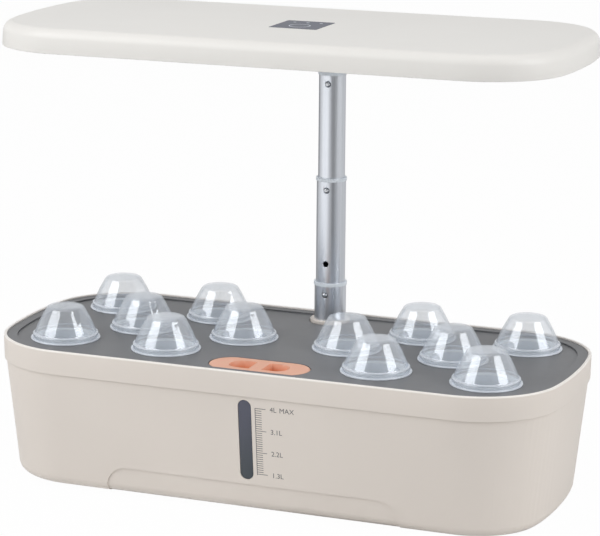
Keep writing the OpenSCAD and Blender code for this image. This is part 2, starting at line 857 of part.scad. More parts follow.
// Frosted bush on a tube's end, with a short skirt over the tube
module bush(k) {
    r = tube_rs[k];
    color("aliceblue") translate([0, pole_y, tube_ends[k]]) difference() {
        rod(r + bush_t, -bush_skirt, bush_up);
        rod(r + 0.02, -bush_skirt - past, 0);
        rod(tube_rs[k + 1] + tube_gap, -past, bush_up + past);
    }
}

// Hairpin spring in the next tube up, with the button on its front leg
module clip(k) {
    inside = tube_rs[k + 1] - tube_wall;
    leg_w = 5;
    leg_t = 0.6;
    leg = sqrt(inside * inside - leg_w * leg_w / 4) - 0.1;
    tip = tube_rs[k] + button_out;
    color("lightgray") translate([0, pole_y, button_zs[k]]) {
        rotate([90, 0, 90]) translate([0, 0, -leg_w / 2]) linear_extrude(leg_w) polygon([
            [-leg, 4], [-leg, -5], [0, -13.4], [leg, -5], [leg, 4],
            [leg - leg_t, 4], [leg - leg_t, -4.8], [0, -12.6],
            [leg_t - leg, -4.8], [leg_t - leg, 4]
        ]);
        rotate([90, 0, 0]) {
            rod(button_r, leg - leg_t / 2, tip - 0.6);
            translate([0, 0, tip - 0.6]) cylinder(r1 = button_r, r2 = button_r - 0.7, h = 0.6);
        }
    }
}

// The lamp's outline moved in by i: a drafted side and a round upper edge
module lamp2d(i, z0) {
    run = tan(lamp_draft);
    edge_z = lamp_t - lamp_edge_r;
    edge_x = lamp_r - run * edge_z - lamp_edge_r / cos(lamp_draft);
    r = lamp_edge_r - i;
    polygon([
        [0, z0],
        [lamp_r - i / cos(lamp_draft) - run * z0, z0],
        [edge_x + r * cos(lamp_draft), edge_z + r * sin(lamp_draft)],
        [edge_x, edge_z],
        [edge_x, lamp_t - i],
        [0, lamp_t - i]
    ]);
    translate([edge_x, edge_z]) circle(r);
}

module lamp_housing() {
    color("whitesmoke") translate([0, lamp_y, lamp_z]) difference() {
        union() {
            around_plate(lamp_cx, lamp_cy, ceiling, lamp_wall) difference() {
                intersection() {
                    lamp2d(0, 0);
                    square([lamp_r + past, lamp_t + past]);
                }
                lamp2d(lamp_wall, -past);
            }
            for (place = boss_places) translate([place[0], place[1], 0])
                rod(boss_r, cover_top, ceiling + lamp_wall / 2);
            for (place = post_places) translate([place[0], place[1], 0])
                rod(boss_r, board_z + board_t, ceiling + lamp_wall / 2);
            for (x = [-1, 1], y = [-1, 1])
                translate([touch_x + x * (pcb_w / 2 - 5), y * (pcb_d / 2 - 5) - lamp_y, 0])
                    rod(pcb_post_r, pcb_z + board_t, ceiling + lamp_wall / 2);
        }
        for (place = boss_places) translate([place[0], place[1], 0])
            rod(screw_r + 0.02, 0, ceiling - 3);
        for (place = post_places) translate([place[0], place[1], 0])
            rod(screw_r + 0.02, 0, ceiling - 2);
        translate([touch_x, -lamp_y, lamp_t - touch_t + 0.1]) linear_extrude(touch_t)
            rounded2d(touch_w + 0.2, touch_d + 0.2, 1.2);
    }
}

module lamp_base() {
    edge = 2 * (lamp_wall + slip_gap);
    color("whitesmoke") translate([0, lamp_y, lamp_z + cover_in]) difference() {
        linear_extrude(cover_t) difference() {
            rounded2d(lamp_l - edge, lamp_w - edge, lamp_r - edge / 2);
            translate([0, -diffuser_y])
                rounded2d(diffuser_l + 2 * seat_gap, diffuser_w + 2 * seat_gap, diffuser_r);
            translate([0, pole_y - lamp_y]) circle(tube_rs[3] + 0.3);
            for (place = boss_places) translate(place) circle(screw_r + 0.2);
        }
        for (place = boss_places) translate([place[0], place[1], 0])
            rod(screw_head_r + 0.2, -past, screw_head_t);
    }
}

module lamp_diffuser() {
    color("white", 0.7) translate([0, lamp_y - diffuser_y, lamp_z]) {
        translate([0, 0, cover_in]) linear_extrude(cover_t)
            rounded2d(diffuser_l, diffuser_w, diffuser_r);
        translate([0, 0, cover_top]) linear_extrude(diffuser_flange)
            rounded2d(diffuser_l + 2 * flange_lap, diffuser_w + 2 * flange_lap,
                diffuser_r + flange_lap);
    }
}

module led_board() {
    color("gainsboro") translate([0, lamp_y, lamp_z + board_z]) linear_extrude(board_t) difference() {
        translate([0, -diffuser_y]) rounded2d(diffuser_l - 2, diffuser_w - 6, 6);
        for (place = post_places) translate(place) circle(screw_r + 0.2);
    }
}

module leds() {
    gap_x = (diffuser_l - 2 * led_in) / (led_columns - 1);
    gap_y = (diffuser_w - 2 * led_in) / (led_rows - 1);
    color("lightyellow") translate([0, lamp_y - diffuser_y, lamp_z + board_z - led_t])
        for (c = [0:led_columns - 1], r = [0:led_rows - 1])
            translate([
                (c - (led_columns - 1) / 2) * gap_x - led_size / 2,
                (r - (led_rows - 1) / 2) * gap_y - led_size / 2,
                0
            ]) cube([led_size, led_size, led_t]);
}

module touch_panel() {
    color("darkslategray") translate([touch_x, 0, lamp_z + lamp_t - touch_t + 0.1])
        linear_extrude(touch_t) rounded2d(touch_w, touch_d, 1);
}

module control_board() {
    color("darkgreen") translate([touch_x, 0, lamp_z + pcb_z]) {
        linear_extrude(board_t) square([pcb_w, pcb_d], center = true);
        for (i = [-1:1])
            translate([i * pcb_chip_step - pcb_chip[0] / 2, pcb_chip_in - pcb_d / 2, seat_gap - pcb_chip[2]])
                cube(pcb_chip);
    }
}

module lamp_screws() {
    color("silver") translate([0, lamp_y, lamp_z]) {
        for (place = boss_places) translate([place[0], place[1], cover_in]) {
            rod(screw_head_r, 0, screw_head_t - 0.1);
            rod(screw_r, 0, screw_l);
        }
        for (place = post_places) translate([place[0], place[1], 0]) {
            rod(screw_head_r, board_z - 1.2, board_z);
            rod(screw_r, board_z - 0.2, ceiling - 3);
        }
    }
}

tank_body();
level_window();
window_gasket();
feet();
service_cover();
cover_screws();
dc_jack();
pump_body();
pump_inlet();
pump_impeller();
pump_shaft();
pump_cups();
pump_lead();
rim_collar();
deck();
fill_cap();
cap_seal();
pole_collar();
lower_tube();
mid_tube();
upper_tube();
lamp_neck();
bush(0);  // bush_lower
bush(1);  // bush_mid
bush(2);  // bush_upper
clip(0);  // clip_lower
clip(1);  // clip_mid
clip(2);  // clip_upper
lamp_housing();
lamp_base();
lamp_diffuser();
led_board();
leds();
touch_panel();
control_board();
lamp_screws();
for (k = pod_numbers) basket(k);
for (k = pod_numbers) dome(k);
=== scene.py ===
import json

import bmesh
import bpy
import numpy as np
from mathutils import Matrix, Vector, geometry

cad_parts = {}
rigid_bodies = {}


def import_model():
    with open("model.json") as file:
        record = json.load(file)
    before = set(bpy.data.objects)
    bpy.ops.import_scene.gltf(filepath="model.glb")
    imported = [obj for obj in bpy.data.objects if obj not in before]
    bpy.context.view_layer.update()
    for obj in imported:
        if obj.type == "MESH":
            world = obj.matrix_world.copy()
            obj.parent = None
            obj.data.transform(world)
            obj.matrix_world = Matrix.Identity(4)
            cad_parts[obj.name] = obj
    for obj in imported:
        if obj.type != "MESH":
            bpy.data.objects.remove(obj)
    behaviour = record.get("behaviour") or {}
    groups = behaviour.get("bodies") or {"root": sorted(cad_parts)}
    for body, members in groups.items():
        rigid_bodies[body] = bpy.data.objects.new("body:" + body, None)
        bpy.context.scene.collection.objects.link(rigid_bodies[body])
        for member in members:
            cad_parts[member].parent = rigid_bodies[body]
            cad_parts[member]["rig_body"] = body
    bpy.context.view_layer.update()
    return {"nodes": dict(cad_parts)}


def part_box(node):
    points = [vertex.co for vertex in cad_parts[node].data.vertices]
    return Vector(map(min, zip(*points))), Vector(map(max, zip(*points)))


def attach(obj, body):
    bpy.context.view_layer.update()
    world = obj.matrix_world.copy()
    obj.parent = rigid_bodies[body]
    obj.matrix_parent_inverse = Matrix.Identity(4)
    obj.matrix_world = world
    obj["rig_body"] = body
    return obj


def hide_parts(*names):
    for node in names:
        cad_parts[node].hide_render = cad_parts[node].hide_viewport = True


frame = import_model()
nodes = frame["nodes"]
mm = 0.001
pods = range(1, 13)  # numbers of the twelve pods
slotOf = {name: node.data.materials[0].name for name, node in nodes.items()}


# a shader socket that adds and multiplies like a number
class Wire:
    def __init__(self, graph, socket):
        self.graph, self.socket = graph, socket

    # a Math node on numbers and wires
    def math(self, operation, *values):
        kind = {"operation": operation}
        return self.graph.node("ShaderNodeMath", kind, dict(enumerate(values)))

    def __add__(self, other):
        return self.math("ADD", self, other)

    def __sub__(self, other):
        return self.math("SUBTRACT", self, other)

    def __rsub__(self, other):
        return self.math("SUBTRACT", other, self)

    def __mul__(self, other):
        return self.math("MULTIPLY", self, other)

    def __pow__(self, other):
        return self.math("POWER", self, other)

    __radd__, __rmul__ = __add__, __mul__

    # 0 below low, 1 above high, smooth between
    def step(self, low, high):
        kind = {"interpolation_type": "SMOOTHSTEP"}
        sockets = {"Value": self, "From Min": low, "From Max": high}
        return self.graph.node("ShaderNodeMapRange", kind, sockets)

    # 1 between low and high, falling to 0 over a soft edge outside them
    def within(self, low, high, soft):
        return self.step(low - soft, low) * (1 - self.step(high, high + soft))


# a node tree whose nodes are made and wired in one call each
class Graph:
    def __init__(self, tree):
        self.tree = tree
        tree.nodes.clear()

    # a node of a kind: its settings first, then its sockets' values or links
    def node(self, kind, settings, sockets, out=0):
        made = self.tree.nodes.new(kind)
        for key, value in settings.items():
            setattr(made, key, value)
        for key, value in sockets.items():
            if isinstance(value, Wire):
                self.tree.links.new(value.socket, made.inputs[key])
            else:
                made.inputs[key].default_value = value
        return Wire(self, made.outputs[out])

    # 1 for rays of these kinds and 0 for others: the greatest of their flags
    def ray(self, *kinds):
        rays = [self.node("ShaderNodeLightPath", {}, {}, f"Is {kind} Ray") for kind in kinds]
        found = rays[0]
        for other in rays[1:]:
            found = found.math("MAXIMUM", found, other)
        return found


# a material: one plain shader, what feeds it and what the surface shows
class Finish(Graph):
    def __init__(self, name, **constants):
        self.material = bpy.data.materials.new(name)
        self.material.use_nodes = True
        super().__init__(self.material.node_tree)
        named = {key.replace("_", " "): value for key, value in constants.items()}
        self.shader = self.node("ShaderNodeBsdfPrincipled", {}, named)
        self.output = self.tree.nodes.new("ShaderNodeOutputMaterial")
        self.show(self.shader)

    # the shader that the surface shows
    def show(self, wire):
        self.tree.links.new(wire.socket, self.output.inputs["Surface"])

    # a wire into one of the plain shader's sockets
    def feed(self, key, wire):
        self.tree.links.new(wire.socket, self.shader.socket.node.inputs[key])

    # the piece's own coordinates, in metres
    def place(self):
        return self.node("ShaderNodeTexCoord", {}, {}, "Object")

    # one of these coordinates: "X", "Y" or "Z"
    def along(self, axis):
        return self.node("ShaderNodeSeparateXYZ", {}, {"Vector": self.place()}, axis)

    # cloudy noise from 0 to 1, about scale clouds to a metre
    def noise(self, scale, detail=2.0, stretch=(1, 1, 1), rough=0.55):
        place = self.node("ShaderNodeMapping", {}, {"Vector": self.place(), "Scale": stretch})
        sockets = {"Vector": place, "Scale": scale, "Detail": detail, "Roughness": rough}
        return self.node("ShaderNodeTexNoise", {}, sockets)

    # the first colour where mask is 0, the second where it is 1
    def blend(self, mask, first, second):
        return self.node("ShaderNodeMix", {"data_type": "RGBA"}, {0: mask, 6: first, 7: second}, 2)

    # the same for two shaders
    def mixed(self, mask, first, second):
        return self.node("ShaderNodeMixShader", {}, {0: mask, 1: first, 2: second})

    # depth metres of relief where height goes from 0 to 1
    def bump(self, height, depth, strength=0.5):
        sockets = {"Height": height, "Distance": depth, "Strength": strength}
        self.feed("Normal", self.node("ShaderNodeBump", {}, sockets))


# a screen colour such as "dcd3cb" as linear light: ((c + 0.055) / 1.055) ** 2.4, or
# c / 12.92 where it is darkest, times gain
def tint(text, gain=1.0):
    c = np.array([int(text[i : i + 2], 16) for i in (0, 2, 4)]) / 255
    linear = np.where(c < 0.04045, c / 12.92, ((c + 0.055) / 1.055) ** 2.4)
    return (*(linear * gain).tolist(), 1.0)


# a CAD node's lowest and highest corner, in millimetres
def boxOf(node):
    low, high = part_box(node)
    return np.array(low) / mm, np.array(high) / mm


# heights over a CAD node's foot given in millimetres, as metres: (foot + height) * mm
def above(node, *heights):
    return [(boxOf(node)[0][2] + height) * mm for height in heights]


mending = {
    "weld": 2e-6,  # points closer than this become one, in metres
    "sliver": 1e-6,  # and shorter edges than this go
    "flat": 0.5,  # degrees up to which faces lie in one plane
    "sharp": 34,  # and from which the edge between them stays sharp
    "segments": 2,  # of a rounded edge
}


# a mesh as a piece: doubles merged, edges sharp from an angle, attached to its body,
# and the CAD nodes that it replaces hidden
def settle(name, mesh, body, finish, replaced=(), angle=mending["sharp"]):
    work = bmesh.new()
    work.from_mesh(mesh)
    bmesh.ops.remove_doubles(work, verts=work.verts, dist=mending["weld"])
    bmesh.ops.dissolve_degenerate(work, edges=work.edges, dist=mending["sliver"])
    work.to_mesh(mesh)
    work.free()
    mesh.shade_smooth()
    mesh.set_sharp_from_angle(angle=np.radians(angle))
    mesh.materials.clear()
    mesh.materials.append(finish.material)
    piece = bpy.data.objects.new(name, mesh)
    bpy.context.scene.collection.objects.link(piece)
    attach(piece, body)
    if replaced:
        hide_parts(*replaced)
    return piece


# a new piece from points in millimetres and from faces that number them
def publish(name, points, faces, body, finish, slot, replaced=(), angle=mending["sharp"]):
    mesh = bpy.data.meshes.new(name)
    mesh.from_pydata((np.asarray(points, float) * mm).tolist(), [], [list(f) for f in faces])
    return settle(name, mesh, body, finish, replaced, angle)


# a merged copy of a CAD node, its sharp edges rounded and its flats kept flat
def refined(node, name, edge, form=None):
    source, slot = nodes[node], slotOf[node]
    piece = settle(name, source.data.copy(), source["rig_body"], finishes[slot], (node,))
    if edge:
        work = bmesh.new()
        work.from_mesh(piece.data)
        flat = np.radians(mending["flat"])
        bmesh.ops.dissolve_limit(work, angle_limit=flat, verts=work.verts, edges=work.edges)
        work.to_mesh(piece.data)
        work.free()
        if form:
            bendEnds(piece.data, form)
        bevel = piece.modifiers.new("edges", "BEVEL")
        bevel.width, bevel.segments = edge * mm, mending["segments"]
        bevel.limit_method, bevel.angle_limit = "ANGLE", np.radians(mending["sharp"])
        bevel.use_clamp_overlap = True
    piece.modifiers.new("flats", "WEIGHTED_NORMAL").keep_sharp = True
    return piece


bow = {
    "deep": 2.3,  # how far an end's corners lie behind its middle
    "start": 172.0,  # nothing nearer the middle of the part moves
    "full": 190.0,  # and past this an end moves all the way
    "soft": 0.15,  # how gently the bend begins
    "cut": 4.0,  # spacing of the cuts that let a flat end bend
    "tank": ("rim_collar", 62.0, 57.5),  # whose plan, and its corners before and after
    "lamp": ("lamp_housing", 58.8, 54.8),
}


# how far an end of the plan lies behind its middle, y across it: past the corner's
# centre deep + corner - sqrt(corner ** 2 - (y - centre) ** 2), and before it, where a
# bowed end is an arc of radius arc, arc - sqrt(arc ** 2 - y ** 2)
def endInset(y, half, corner, deep=0.0):
    centre = half - corner
    beyond = np.clip(y - centre, 0, corner)
    inset = deep + corner - np.sqrt(corner**2 - beyond**2)
    if not deep:
        return inset
    radius = (centre**2 + deep**2) / (2 * deep)
    arc = radius + corner
    return np.where(y <= centre * arc / radius, arc - np.sqrt(arc**2 - y**2), inset)


# the smooth step of t from 0 to 1: t ** 2 * (3 - 2 * t)
def smooth(t):
    return t * t * (3 - 2 * t)


# bends the plan's straight ends into arcs: an end moves in by d ** 2 / (d + soft), d
# being how much further back the bowed end lies, times a smooth step from start to full
def bowed(points, form):
    owner, before, after = bow[form]
    low, high = boxOf(owner)
    half = (high[1] - low[1]) / 2
    x, y = points[..., 0], points[..., 1]
    across = np.minimum(np.abs(y - (low[1] + high[1]) / 2), half)
    d = endInset(across, half, after, bow["deep"]) - endInset(across, half, before)
    d = np.clip(d, 0, None)
    t = np.clip((np.abs(x) - bow["start"]) / (bow["full"] - bow["start"]), 0, 1)
    made = points.copy()
    made[..., 0] -= np.sign(x) * smooth(t) * d**2 / (d + bow["soft"])
    return made


# the same bend for a copy of a CAD node, whose flat ends are cut across first
def bendEnds(mesh, form):
    (low, high), near = boxOf(bow[form][0]), mending["sliver"]
    work = bmesh.new()
    work.from_mesh(mesh)
    for y in np.arange(low[1], high[1], bow["cut"])[1:] * mm:
        far = {f for f in work.faces if max(abs(v.co.x) for v in f.verts) > bow["start"] * mm}
        parts = {part for face in far for part in (*face.verts, *face.edges)} | far
        bmesh.ops.bisect_plane(
            work, geom=list(parts), dist=near, plane_co=(0, y, 0), plane_no=(0, 1, 0)
        )
    work.to_mesh(mesh)
    work.free()
    points = np.empty(len(mesh.vertices) * 3)
    mesh.vertices.foreach_get("co", points)
    points = bowed(points.reshape(-1, 3) / mm, form) * mm
    mesh.vertices.foreach_set("co", points.ravel())
    mesh.update()


# quads of a grid of columns by rows, wrapped round the columns and, if asked, the rows:
# the point of column c and row r is number c * rows + r
def gridFaces(columns, rows, wrapRows=False):
    last = rows if wrapRows else rows - 1
    c, r = np.meshgrid(np.arange(columns), np.arange(last), indexing="ij")
    c, r = c.ravel(), r.ravel()
    right, up = (c + 1) % columns, (r + 1) % rows
    return np.stack([c * rows + r, right * rows + r, right * rows + up, c * rows + up], 1)


# a profile of (distance, height) turned round a vertical axis: x = d cos a, y = d sin a
def turned(profile, x, y, steps):
    a = np.linspace(0, 2 * np.pi, steps, endpoint=False)[:, None]
    d, z = np.asarray(profile, float).T
    points = np.stack([x + d * np.cos(a), y + d * np.sin(a), z + 0 * a], 2)
    return points.reshape(-1, 3)


# the path round a rounded rectangle: a point on the corner centres' rectangle and
# the outward direction there, anticlockwise from the front's left end
def roundPath(cx, cy, cornerSteps, sides):
    base, out = [], []
    corners = np.array([[-cx, -cy], [cx, -cy], [cx, cy], [-cx, cy]])
    for k, count in enumerate(sides):
        t = np.linspace(0, 1, count)
        start, end, turn = corners[k], corners[(k + 1) % 4], np.radians(90 * k - 90)
        base.append(start + t[:, None] * (end - start))
        out.append(np.tile([np.cos(turn), np.sin(turn)], (len(t), 1)))
        a = turn + np.linspace(0, np.pi / 2, cornerSteps + 1)[1:-1]
        base.append(np.tile(end, (len(a), 1)))
        out.append(np.stack([np.cos(a), np.sin(a)], 1))
    return np.concatenate(base), np.concatenate(out)


# a profile of (distance, height) carried round such a path: point = base + d * out
def carried(profile, path):
    base, out = path
    d, z = np.asarray(profile, float).T
    flat = base[:, None] + d[None, :, None] * out[:, None]
    return np.concatenate([flat, np.broadcast_to(z[None, :, None], (*flat.shape[:2], 1))], 2)


# a profile's corners rounded: each corner with a radius becomes a short arc, whose
# centre lies radius / sin(half the corner's angle) along the line that halves it
def eased(corners, radii, steps=4):
    corners = np.asarray(corners, float)
    made = []
    for k, radius in enumerate(radii):
        here, back, on = corners[k], corners[k - 1], corners[(k + 1) % len(corners)]
        if not radius:
            made.append(here)
            continue
        a, b = back - here, on - here
        a, b = a / np.linalg.norm(a), b / np.linalg.norm(b)
        half = np.arccos(np.clip(a @ b, -1, 1)) / 2
        centre = here + (a + b) / np.linalg.norm(a + b) * radius / np.sin(half)
        first, last = here + a * radius / np.tan(half), here + b * radius / np.tan(half)
        for t in np.linspace(0, 1, steps + 1):
            ray = (first - centre) * (1 - t) + (last - centre) * t
            made.append(centre + ray / np.linalg.norm(ray) * radius)
    return np.array(made)


# which points lie in a loop, by counting the edges that a ray to the right crosses
def inside(points, loop):
    x, y = points[:, 0][:, None], points[:, 1][:, None]
    (x0, y0), (x1, y1) = loop.T, np.roll(loop, -1, 0).T
    with np.errstate(divide="ignore", invalid="ignore"):
        cross = ((y0 > y) != (y1 > y)) & (x < (x1 - x0) * (y - y0) / (y1 - y0) + x0)
    return cross.sum(1) % 2 == 1


# flat triangles inside the first loop and outside the others, at one height; points
# nearer than near are one, and only what the loops enclose is filled
def flatFill(loops, z, up=True, near=1e-5, enclosed=1):
    points = np.concatenate(loops)
    starts = np.cumsum([0] + [len(loop) for loop in loops])
    edges = [
        (int(a + k), int(a + (k + 1) % (b - a)))
        for a, b in zip(starts, starts[1:])
        for k in range(b - a)
    ]
    flat, _, faces, *_ = geometry.delaunay_2d_cdt(points.tolist(), edges, [], enclosed, near)
    flat, faces = np.array(flat), np.array(list(faces))
    middle = flat[faces].mean(1)
    keep = inside(middle, loops[0])
    for loop in loops[1:]:
        keep &= ~inside(middle, loop)
    faces = faces[keep]
    a, b, c = (flat[faces[:, k]] for k in range(3))
    turn = (b - a)[:, 0] * (c - a)[:, 1] - (b - a)[:, 1] * (c - a)[:, 0]
    faces[(turn > 0) != up] = faces[(turn > 0) != up][:, ::-1]
    return np.column_stack([flat, np.full(len(flat), z)]), faces


# the outline of a rounded rectangle round (x, y): point = base + radius * out
def roundedLoop(length, width, radius, x, y, steps=10):
    base, out = roundPath(length / 2 - radius, width / 2 - radius, steps, (2, 2, 2, 2))
    return base + radius * out + [x, y]


# joins parts of (points, faces) into one, whose faces count on from part to part
def joined(*parts):
    points, faces, start = [], [], 0
    for p, f in parts:
        points.append(np.asarray(p, float).reshape(-1, 3))
        faces += [[int(i) + start for i in face] for face in f]
        start += len(points[-1])
    return np.concatenate(points), faces


view = {
    "place": (0.6205, -1.6052, 0.5521),
    "yaw": 21.62,
    "pitch": 13.20,
    "roll": 0.326,
    "lens": 155.1,
    "sensor": 36,
    "shift": (0.0445, 0.006),
    "clip": (0.05, 60),
    "seeThrough": 48,  # clear walls that a ray may pass: it meets up to four domes
}


# turned by yaw about the vertical, tipped up by 90 degrees less pitch, then rolled
def setCamera():
    turn = Matrix.Rotation(np.radians(view["yaw"]), 4, "Z")
    turn = turn @ Matrix.Rotation(np.radians(90 - view["pitch"]), 4, "X")
    turn = turn @ Matrix.Rotation(np.radians(view["roll"]), 4, "Z")
    camera = bpy.data.objects.new("camera", bpy.data.cameras.new("camera"))
    bpy.context.scene.collection.objects.link(camera)
    camera.matrix_world = Matrix.Translation(view["place"]) @ turn
    camera.data.lens, camera.data.sensor_width = view["lens"], view["sensor"]
    camera.data.shift_x, camera.data.shift_y = view["shift"]
    camera.data.clip_start, camera.data.clip_end = view["clip"]
    bpy.context.scene.camera = camera
    bpy.context.scene.view_settings.view_transform = "Standard"
    bpy.context.scene.cycles.transparent_max_bounces = view["seeThrough"]


setCamera()
print("camera set")

studio = {
    "floor": 8.0,  # half its width
    "floorTint": (0.75, 0.75, 0.75, 1),
    "floorRough": 0.9,
    "floorGlow": 0.98,  # how much of the floor that the camera sees is plain white
    "white": (1, 1, 1, 1),
    "fill": 0.336,  # light from all round
    "front": 0.336,  # what polished surfaces meet on the camera's side
    "back": 0.8,  # and behind the object
    "depth": (-0.75, 0.1),  # where, from near to far, the one turns into the other
    "floorDark": 0.3,  # what they meet low down, where nothing bright stands
    "floorBack": (2.3, 3.0, 0.3),  # paler behind: from, all from, and how much
    # pale stretches of floor: from, to and how bright
    "glows": ((-1.75, 0.14, 0.52), (-1.05, -0.3, 0.44), (1.15, 2.6, 0.34)),
    "glowSoft": 0.25,  # over how wide an angle a stretch fades
    "lamps": {  # azimuth from the front, height, distance, width, length, watts
        "leftBox": (-43, 1.04, 1.4, 1.25, 1.3, 15.6),
        "rightBox": (84, 1.12, 1.9, 1.3, 1.7, 22.0),
        "topBox": (0, 2.3, 0.3, 1.9, 1.5, 5.6),
    },
    "aim": (0, 0, 0.16),  # where the lamps point
}


# plain white where the camera looks; polished pieces meet pale stretches at each side
# of a darker front, by the angle round the object: atan2(x, -y)
def floorFinish():
    f = Finish("studio_floor", Base_Color=studio["floorTint"], Roughness=studio["floorRough"])
    x, y = f.along("X"), f.along("Y")
    angle = x.math("ARCTAN2", x, 0 - y)
    low, high, bright = studio["floorBack"]
    glow = bright * angle.math("ABSOLUTE", angle).step(low, high) + studio["floorDark"]
    for low, high, bright in studio["glows"]:
        glow = glow + angle.within(low, high, studio["glowSoft"]) * bright
    seen = f.ray("Camera", "Transmission")
    white = f.node("ShaderNodeEmission", {}, {"Color": studio["white"], "Strength": 1.0})
    mirrored = f.node("ShaderNodeEmission", {}, {"Color": glow, "Strength": 1.0})
    plain = f.mixed(seen * studio["floorGlow"], f.shader, white)
    f.show(f.mixed(f.ray("Glossy"), plain, mirrored))
    return f


# one square round the object, at height 0, that belongs to the studio
def layFloor():
    half = studio["floor"]
    ground = bpy.data.meshes.new("floor")
    corners = [(-half, -half, 0), (half, -half, 0), (half, half, 0), (-half, half, 0)]
    ground.from_pydata(corners, [], [(0, 1, 2, 3)])
    ground.materials.append(floorFinish().material)
    floor = bpy.data.objects.new("floor", ground)
    bpy.context.scene.collection.objects.link(floor)


# an even light from all round; the camera sees white, and polished surfaces meet
# front + (back - front) * step(depth), white behind the object and greyer before it
def lightAir():
    world = bpy.data.worlds.new("studio")
    world.use_nodes = True
    bpy.context.scene.world = world
    g = Graph(world.node_tree)
    heading = g.node("ShaderNodeTexCoord", {}, {}, "Generated")
    depth = g.node("ShaderNodeSeparateXYZ", {}, {0: heading}, "Y").step(*studio["depth"])
    mirrored = depth * (studio["back"] - studio["front"]) + studio["front"]
    glossy, seen = g.ray("Glossy"), g.ray("Camera", "Transmission")
    bright = glossy * mirrored + (1 - glossy) * (seen * (1 - studio["fill"]) + studio["fill"])
    air = g.node("ShaderNodeBackground", {}, {"Color": studio["white"], "Strength": bright})
    out = g.tree.nodes.new("ShaderNodeOutputWorld")
    g.tree.links.new(air.socket, out.inputs["Surface"])


# each lamp stands at (distance * sin a, -distance * cos a, height) and faces the aim
def hangLamps():
    target = Vector(studio["aim"])
    for name, (azimuth, height, distance, width, length, watts) in studio["lamps"].items():
        a = np.radians(azimuth)
        spot = Vector((distance * np.sin(a), -distance * np.cos(a), height))
        light = bpy.data.lights.new(name, "AREA")
        light.shape, light.size, light.size_y, light.energy = "RECTANGLE", width, length, watts
        holder = bpy.data.objects.new(name, light)
        bpy.context.scene.collection.objects.link(holder)
        aim = (target - spot).to_track_quat("-Z", "Y").to_matrix().to_4x4()
        holder.matrix_world = Matrix.Translation(spot) @ aim


layFloor()
lightAir()
hangLamps()
print("studio lit")


plastic = {  # what all moulded plastic shares
    "drift": (7.0, 0.32, 0.68),  # clouds of tone to a metre, and the noise they turn between
    "patches": (30.0, 0.12),  # handled patches to a metre, and how far their gloss varies
    "grainy": 0.04,  # roughness that the grain adds
}


# moulded plastic: a fine eroded grain, a slow drift of tone and handled patches of gloss;
# roughness = rough + spread * (patches - 1 / 2) + grainy * grain
def moulded(name, colour, rough, grain, depth, drift):
    f = Finish(name)
    clouds, low, high = plastic["drift"]
    slow = f.noise(clouds).step(low, high)
    f.feed("Base Color", f.blend(slow, tint(colour, 1 - drift), tint(colour, 1 + drift)))
    fine, (patches, spread) = f.noise(grain), plastic["patches"]
    handled = f.noise(patches, detail=3.0) * spread + (rough - spread / 2)
    f.feed("Roughness", handled + fine * plastic["grainy"])
    f.bump(fine, depth * mm)
    return f


rimLook = {
    # painted highlight: the paler colour of the rim's lip
    "highlightTint": "f6f1ec",
    "lip": (15.4, 16.6),  # heights over its foot between which the lip turns pale: a painted highlight
    "rough": 0.42,
    "polish": 0.14,  # how much smoother the lip is
}


# the tank's cream, smoother on the rim's lip, where a paler colour paints a highlight:
# roughness = rough - polish * lip + grainy * grain
def rimFinish():
    f = Finish("rim_plastic")
    cream, _, grain, depth, drift = plastics["cream_plastic"]
    clouds, low, high = plastic["drift"]
    lip, fine = f.along("Z").step(*above("rim_collar", *rimLook["lip"])), f.noise(grain)
    slow = f.noise(clouds).step(low, high)
    body = f.blend(slow, tint(cream, 1 - drift), tint(cream, 1 + drift))
    # painted highlight: above the lip heights the cream turns to the paler tint
    f.feed("Base Color", f.blend(lip, body, tint(rimLook["highlightTint"])))
    f.feed("Roughness", fine * plastic["grainy"] + rimLook["rough"] - lip * rimLook["polish"])
    f.bump(fine, depth * mm)
    return f


capLook = {
    "top": ("eaad90", "efb69b"),
    "clouds": (26.0, 0.3, 0.7),  # clouds to a metre, and the noise they turn between
    # painted shade: the darker, more orange colour of the finger wells
    "well": "dc7f4c",
    "sunk": (2.8, 9.4),  # heights over its foot: the painted shade of the wells below, the top's colour above
    "rough": 0.38,
    "grainy": 0.06,
    "grain": (1500.0, 0.03),  # grains to a metre, and their depth
}


# paler on top, with painted shade in the finger wells, deeper and more orange:
# roughness = rough + grainy * grain
def capFinish():
    f = Finish("cap_plastic")
    (clouds, low, high), (grain, depth) = capLook["clouds"], capLook["grain"]
    # painted shade: below the sunk heights the wells take the darker colour
    well = f.along("Z").step(*above("fill_cap", *capLook["sunk"]))
    top = f.blend(f.noise(clouds).step(low, high), *map(tint, capLook["top"]))
    f.feed("Base Color", f.blend(well, tint(capLook["well"]), top))
    fine = f.noise(grain)
    f.feed("Roughness", fine * capLook["grainy"] + capLook["rough"])
    f.bump(fine, depth * mm)
    return f


tubeLook = {
    "tints": ("d4d8df", "e1e5eb"),
    "lines": (420.0, (1, 1, 0.012)),  # lines to a metre across the tube, drawn out along it
    "turn": (0.35, 0.65),
    "rough": 0.25,
    "streaks": 0.1,  # roughness that the lines add
    "relief": (0.008, 0.4),  # depth and strength
}


# drawn and anodised: fine lines along the tube, a soft metal gloss: roughness = rough +
# streaks * lines
def tubeFinish():
    f = Finish("tube_metal", Metallic=1.0)
    (count, stretch), (depth, strength) = tubeLook["lines"], tubeLook["relief"]
    lines = f.noise(count, stretch=stretch)
    f.feed("Base Color", f.blend(lines.step(*tubeLook["turn"]), *map(tint, tubeLook["tints"])))
    f.feed("Roughness", lines * tubeLook["streaks"] + tubeLook["rough"])
    f.bump(lines, depth * mm, strength)
    return f


steel = {
    "specks": (600.0, 0.4, 0.7),  # specks to a metre, and the noise they turn between
    "dull": 0.88,  # how bright a speck is
    "spread": 0.12,  # how far the gloss varies
}


